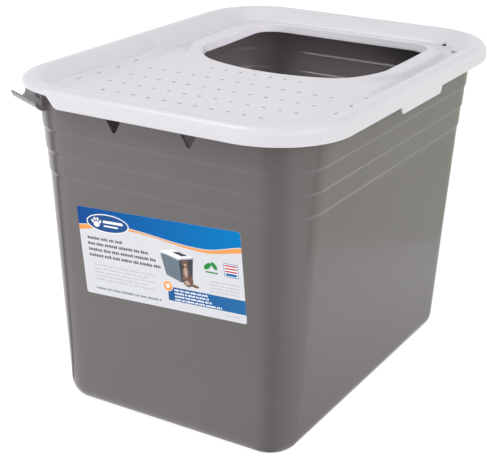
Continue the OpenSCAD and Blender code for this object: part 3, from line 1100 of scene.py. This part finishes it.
CAMERA_AZIMUTH, CAMERA_ELEVATION, CAMERA_ROLL = 30.355, 21.379, 0.915
CAMERA_DISTANCE, CAMERA_TARGET = 1.5091, (-0.02919, 0.0, 0.15806)
LENS_MM, SENSOR_MM, CLIP_NEAR, CLIP_FAR = 92.42, 36.0, 0.05, 60


def floor_square(name, half):
    corners = np.array([(-half, -half, 0), (half, -half, 0), (half, half, 0), (-half, half, 0)])
    return mesh_object(name, corners / MM, [(0, 1, 2, 3)])


def build_stage():
    """A pale floor that is part diffuse and part its own light, so that shadows on it stay faint."""
    floor = floor_square("stage_floor", FLOOR_HALF)
    mat, nodes, links, bsdf = material("stage_pale")
    tone = noise(nodes, links, object_coords(nodes), scale=3.0, detail=2.0)
    dark, light = ((grey, grey, grey) for grey in FLOOR_GREYS)
    links.new(ramp(nodes, links, tone, [(0.3, dark), (0.7, light)]), bsdf.inputs["Base Color"])
    bsdf.inputs["Roughness"].default_value = 0.9
    bsdf.inputs["Specular IOR Level"].default_value = 0.1
    bsdf.inputs["Emission Color"].default_value = (*WHITE, 1)
    bsdf.inputs["Emission Strength"].default_value = FLOOR_GLOW
    floor.data.materials.append(mat)


def vector_math(nodes, links, operation, socket, fixed):
    node = nodes.new("ShaderNodeVectorMath")
    node.operation = operation
    links.new(socket, node.inputs[0])
    node.inputs[1].default_value = fixed
    return node


def along(nodes, links, coords, direction):
    return vector_math(nodes, links, "DOT_PRODUCT", coords, direction).outputs["Value"]


def floor_ramp(nodes, links, coords, change):
    """0 to 1 between two distances along a direction over the floor."""
    direction, start, end = change
    return remap(nodes, links, along(nodes, links, coords, direction), (start, end))


def scalar_math(nodes, links, operation, *sockets):
    node = nodes.new("ShaderNodeMath")
    node.operation = operation
    for socket, entry in zip(sockets, node.inputs):
        links.new(socket, entry)
    return node.outputs[0]


def wedge(nodes, links, coords, gap):
    """1 along a line over the floor from the gap's apex, falling to 0 at its half width in degrees."""
    (x, y), azimuth, half_width = gap
    turn = math.radians(azimuth)
    away = vector_math(nodes, links, "SUBTRACT", coords, (x, y, 0)).outputs["Vector"]
    forward = along(nodes, links, away, (math.sin(turn), -math.cos(turn), 0))
    beside = along(nodes, links, away, (math.cos(turn), math.sin(turn), 0))
    angle = scalar_math(nodes, links, "ARCTAN2", beside, forward)
    size = scalar_math(nodes, links, "ABSOLUTE", angle)
    return remap(nodes, links, size, (0.0, math.radians(half_width)), (1.0, 0.0), "SMOOTHSTEP")


# the Mix node's sockets for colours
MIX_FACTOR, MIX_LOW, MIX_HIGH, MIX_RESULT = 0, 6, 7, 2


def mix_colour(nodes, links, factor, low, high):
    """A mix of two colours, each fixed or from a socket."""
    node = nodes.new("ShaderNodeMix")
    node.data_type = "RGBA"
    for socket, value in ((node.inputs[MIX_LOW], low), (node.inputs[MIX_HIGH], high)):
        if isinstance(value, tuple):
            socket.default_value = (*value, 1)
        else:
            links.new(value, socket)
    links.new(factor, node.inputs[MIX_FACTOR])
    return node.outputs[MIX_RESULT]


# painted reflection: the card's colours, with painted dark bands and painted contact shade
def card_colour(nodes, links):
    coords = object_coords(nodes)
    in_front = mix_colour(nodes, links, floor_ramp(nodes, links, coords, AHEAD), FRONT_NEAR, FRONT_FAR)
    beside = mix_colour(nodes, links, floor_ramp(nodes, links, coords, ASIDE), BESIDE_NEAR, BESIDE_FAR)
    colour = mix_colour(nodes, links, floor_ramp(nodes, links, coords, TURN), in_front, beside)
    beyond = mix_colour(nodes, links, wedge(nodes, links, coords, FAR_GAP), BEYOND, BEYOND_GAP)
    colour = mix_colour(nodes, links, floor_ramp(nodes, links, coords, FLOOR_EDGE), colour, beyond)
    for gap in DARK_GAPS:
        colour = mix_colour(nodes, links, wedge(nodes, links, coords, gap), colour, DARK)
    return colour


def build_reflection_card():
    """A glowing card seen only in reflections, a painted reflection of the studio floor on the glossy
    walls: pale, with painted dark bands for the dim gaps between its lights and painted shade near the
    box's base.
    """
    card = floor_square("painted_reflection_card", CARD_HALF)
    card.location.z = CARD_Z
    for ray in ("camera", "diffuse", "transmission", "volume_scatter", "shadow"):
        setattr(card, "visible_" + ray, False)
    mat, nodes, links, bsdf = material("painted_reflection_card")
    nodes.remove(bsdf)
    emission = nodes.new("ShaderNodeEmission")
    links.new(card_colour(nodes, links), emission.inputs["Color"])
    links.new(emission.outputs[0], nodes["Material Output"].inputs["Surface"])
    card.data.materials.append(mat)


def area_light(name, place, target, size, power, colour):
    data = bpy.data.lights.new(name, "AREA")
    data.shape = "RECTANGLE"
    data.size, data.size_y = size
    data.energy = power
    data.color = colour
    obj = bpy.data.objects.new(name, data)
    obj.location = place
    obj.rotation_euler = (Vector(target) - Vector(place)).to_track_quat("-Z", "Y").to_euler()
    bpy.context.scene.collection.objects.link(obj)
    return obj


def build_world():
    world = bpy.data.worlds.new("studio")
    bpy.context.scene.world = world
    world.use_nodes = True
    nodes, links = world.node_tree.nodes, world.node_tree.links
    direction = nodes.new("ShaderNodeTexCoord").outputs["Generated"]
    height = remap(nodes, links, component(nodes, links, direction, "Z"), (HORIZON_END, ZENITH_START))
    links.new(mix_colour(nodes, links, height, HORIZON, ZENITH), nodes["Background"].inputs["Color"])


def build_lights():
    for light in LIGHTS:
        area_light(*light)
    fill = area_light(*INNER_FILL)
    fill.data.spread = math.radians(INNER_SPREAD)
    fill.visible_glossy = False


def build_camera():
    turns = (CAMERA_AZIMUTH, CAMERA_ELEVATION, CAMERA_ROLL)
    azimuth, elevation, roll = (math.radians(a) for a in turns)
    flat = math.cos(elevation)
    back = Vector((math.sin(azimuth) * flat, -math.cos(azimuth) * flat, math.sin(elevation)))
    level = Vector((math.cos(azimuth), math.sin(azimuth), 0))
    rise = back.cross(level)
    right = level * math.cos(roll) + rise * math.sin(roll)
    up = rise * math.cos(roll) - level * math.sin(roll)
    data = bpy.data.cameras.new("camera")
    data.lens, data.sensor_width = LENS_MM, SENSOR_MM
    data.clip_start, data.clip_end = CLIP_NEAR, CLIP_FAR
    camera = bpy.data.objects.new("camera", data)
    matrix = Matrix((right, up, back)).transposed().to_4x4()
    matrix.translation = Vector(CAMERA_TARGET) + back * CAMERA_DISTANCE
    camera.matrix_world = matrix
    bpy.context.scene.collection.objects.link(camera)
    bpy.context.scene.camera = camera


# ---- assembly -------------------------------------------------------------------------------------

build_camera()
build_world()
build_lights()
build_stage()
build_reflection_card()
bpy.context.scene.view_settings.view_transform = "Standard"

TUB_MAT, LID_MAT = tub_material(), lid_material()

tub = build_tub()
tub.data.materials.clear()
tub.data.materials.append(TUB_MAT)
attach(tub, "tub")
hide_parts("tub")

lid = build_lid()
lid.data.materials.clear()
lid.data.materials.append(LID_MAT)
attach(lid, "lid")
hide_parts("lid")

lugs = hinge_lugs()
shade(lugs.data)
lugs.data.materials.clear()
lugs.data.materials.append(LID_MAT)
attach(lugs, "lid")

label = build_label()
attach(label, "tub")
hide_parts("front_label")
